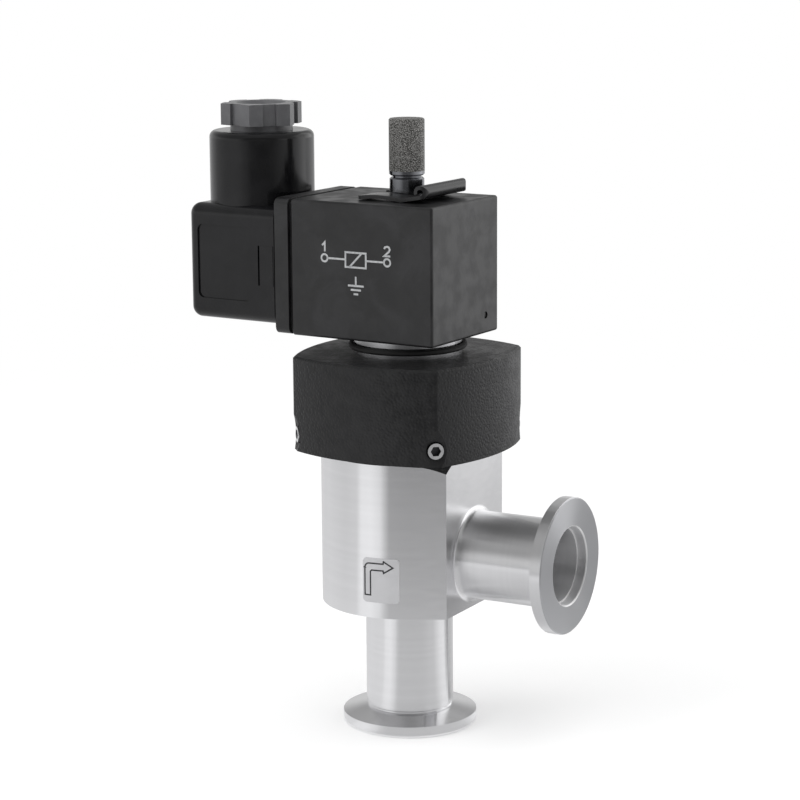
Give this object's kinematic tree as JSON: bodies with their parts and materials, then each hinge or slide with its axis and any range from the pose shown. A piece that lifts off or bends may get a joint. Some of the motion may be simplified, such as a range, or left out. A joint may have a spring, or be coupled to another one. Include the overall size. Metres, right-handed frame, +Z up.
{
  "type": "vacuum safety valve",
  "caption": "Right-angle vacuum valve with small-flange ports, an air-driven bellows stem and a solenoid pilot with its cable plug on top; a spring closes it.",
  "frame": {"origin": "centre of the inlet flange face", "axes": "+Z up the valve stem, away from the inlet; +X out of the outlet flange; the cable plug stands on the -X side"},
  "size_m": [0.0902, 0.0446, 0.1377],
  "materials": {
    "body_metal": "satin, finely turned",
    "inner_steel": "machined",
    "bright_steel": "bright",
    "dark_steel": "gunmetal",
    "brass": "machined",
    "rubber": "matt",
    "winding": "enamelled wire",
    "inner_plastic": "matt",
    "cap_black": "fine leather grain",
    "coil_plastic": "moulded, matt",
    "clip_plastic": "smooth",
    "plug_plastic": "smooth",
    "nut_grey": "smooth",
    "sintered": "sintered grains",
    "label_sheet": "printed film"
  },
  "bodies": {
    "valve": {"valve_body": "body_metal", "bonnet": "body_metal", "bonnet_o_ring": "rubber", "guide_bush": "brass", "stem_seal": "rubber", "cylinder_liner": "body_metal", "flow_label": "label_sheet", "actuator_cap": "cap_black", "cap_screws": "bright_steel", "pilot_base": "body_metal", "base_o_ring": "rubber", "pilot_nozzle": "brass", "armature_tube": "dark_steel", "fixed_core": "inner_steel", "silencer_plug": "dark_steel", "silencer_element": "sintered"},
    "stem": {"valve_plate": "inner_steel", "plate_o_ring": "rubber", "stem": "inner_steel", "bellows": "inner_steel", "piston": "body_metal", "piston_seal": "rubber", "stem_nut": "inner_steel", "return_spring": "inner_steel"},
    "plunger": {"plunger": "inner_steel", "plunger_seals": "rubber", "plunger_spring": "inner_steel"},
    "coil": {"coil_housing": "coil_plastic", "coil_bobbin": "inner_plastic", "coil_winding": "winding", "coil_yoke": "inner_steel", "contact_blades": "brass"},
    "clip": {"coil_clip": "clip_plastic"},
    "plug": {"plug_housing": "plug_plastic", "plug_gasket": "rubber", "terminal_insert": "inner_plastic", "terminal_screws": "inner_steel", "gland_seal": "rubber"},
    "gland_washer": {"gland_washer": "inner_plastic"},
    "gland_nut": {"gland_nut": "nut_grey"},
    "screw_ring": {"screw_ring": "rubber"},
    "plug_screw": {"plug_screw": "bright_steel"}
  },
  "joints": [
    {"name": "valve_lift", "type": "slide", "parent": "valve", "child": "stem", "axis": [0, 0, 1], "range_m": [0, 0.007], "stiffness_N_per_m": 2500, "springref_m": -0.008, "deforming": ["bellows", "return_spring"]},
    {"name": "plunger_lift", "type": "slide", "parent": "valve", "child": "plunger", "axis": [0, 0, 1], "range_m": [0, 0.0008], "stiffness_N_per_m": 300, "springref_m": -0.003, "deforming": ["plunger_spring"]},
    {"name": "coil_swivel", "type": "hinge", "parent": "valve", "child": "coil", "pos_m": [0, 0, 0.1033], "axis": [0, 0, 1], "range_deg": [-180, 180]},
    {"name": "clip_pull", "type": "slide", "parent": "coil", "child": "clip", "axis": [0.9986, -0.0523, 0], "range_m": [0, 0.012]},
    {"name": "plug_pull", "type": "slide", "parent": "coil", "child": "plug", "axis": [-0.9986, 0.0523, 0], "range_m": [0, 0.018]},
    {"name": "gland_washer_slide", "type": "slide", "parent": "plug", "child": "gland_washer", "axis": [0, 0, 1], "range_m": [0, 0.003]},
    {"name": "gland_nut_turn", "type": "hinge", "parent": "gland_washer", "child": "gland_nut", "pos_m": [-0.0382, 0.002, 0.131], "axis": [0, 0, 1], "range_deg": [0, 720]},
    {"name": "screw_ring_slide", "type": "slide", "parent": "plug", "child": "screw_ring", "axis": [-0.9986, 0.0523, 0], "range_m": [0, 0.0032]},
    {"name": "plug_screw_turn", "type": "hinge", "parent": "screw_ring", "child": "plug_screw", "pos_m": [-0.05003, 0.00262, 0.10285], "axis": [-0.9986, 0.0523, 0], "range_deg": [0, 2304]}
  ],
  "couplings": [
    {"joint": "gland_nut_turn", "follows": "gland_washer_slide", "rad_per_m": 4188.8},
    {"joint": "plug_screw_turn", "follows": "screw_ring_slide", "rad_per_m": 12566}
  ]
}
